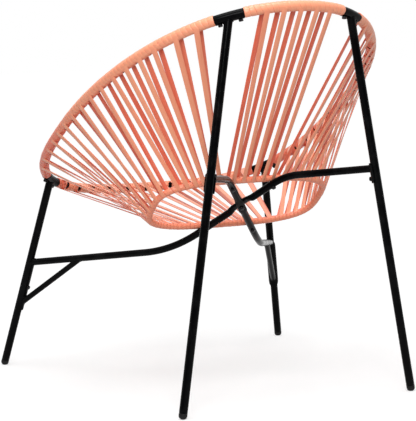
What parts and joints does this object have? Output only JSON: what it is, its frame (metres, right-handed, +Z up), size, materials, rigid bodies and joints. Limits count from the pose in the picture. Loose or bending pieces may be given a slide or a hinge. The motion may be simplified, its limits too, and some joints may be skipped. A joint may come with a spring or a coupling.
{
  "type": "acapulco chair",
  "caption": "String garden chair: a tilted steel hoop strung with flat plastic cord to a small seat ring, on straight tube legs tied by crossed braces.",
  "frame": {"origin": "on the floor, under the middle of the chair's length and width", "axes": "+Z up; the chair faces -Y and its high back is at +Y; the sitter's left hand is at +X"},
  "size_m": [0.7588, 0.8468, 0.843],
  "materials": {
    "gloss_black": "glossy black powder coat on steel tube and pressed steel",
    "dark_zinc": "blackened zinc on the bolts and the nut",
    "cap_rubber": "satin black moulded foot cap",
    "salmon_cord": "soft satin salmon pink flat PVC cord"
  },
  "bodies": {
    "root": {"rim_hoop": "gloss_black", "seat_ring": "gloss_black", "leg_rear_left": "gloss_black", "leg_rear_right": "gloss_black", "leg_front_left": "gloss_black", "leg_front_right": "gloss_black", "foot_cap_rear_left": "cap_rubber", "foot_cap_rear_right": "cap_rubber", "foot_cap_front_left": "cap_rubber", "foot_cap_front_right": "cap_rubber", "rim_saddle_rear_left": "gloss_black", "rim_saddle_rear_right": "gloss_black", "rim_saddle_front_left": "gloss_black", "rim_saddle_front_right": "gloss_black", "rim_bolt_rear_left_a": "dark_zinc", "rim_bolt_rear_left_b": "dark_zinc", "rim_bolt_rear_right_a": "dark_zinc", "rim_bolt_rear_right_b": "dark_zinc", "rim_bolt_front_left_a": "dark_zinc", "rim_bolt_front_left_b": "dark_zinc", "rim_bolt_front_right_a": "dark_zinc", "rim_bolt_front_right_b": "dark_zinc", "cross_brace_left": "gloss_black", "cross_brace_right": "gloss_black", "brace_strut_left": "gloss_black", "brace_strut_right": "gloss_black", "leg_bracket_rear_left": "gloss_black", "leg_bracket_rear_right": "gloss_black", "leg_bracket_front_left": "gloss_black", "leg_bracket_front_right": "gloss_black", "bracket_bolt_rear_left": "dark_zinc", "bracket_bolt_rear_right": "dark_zinc", "bracket_bolt_front_left": "dark_zinc", "bracket_bolt_front_right": "dark_zinc", "centre_bolt": "dark_zinc", "centre_nut": "dark_zinc", "ring_bolt_rear_left": "dark_zinc", "ring_bolt_rear_right": "dark_zinc", "ring_bolt_front_left": "dark_zinc", "ring_bolt_front_right": "dark_zinc", "weave_rear": "salmon_cord", "weave_left_1": "salmon_cord", "weave_left_2": "salmon_cord", "weave_left_3": "salmon_cord", "weave_left_4": "salmon_cord", "weave_left_5": "salmon_cord", "weave_right_1": "salmon_cord", "weave_right_2": "salmon_cord", "weave_right_3": "salmon_cord", "weave_right_4": "salmon_cord", "weave_right_5": "salmon_cord", "weave_front_1": "salmon_cord", "weave_front_2": "salmon_cord", "weave_front_3": "salmon_cord", "weave_front_4": "salmon_cord"}
  },
  "joints": []
}
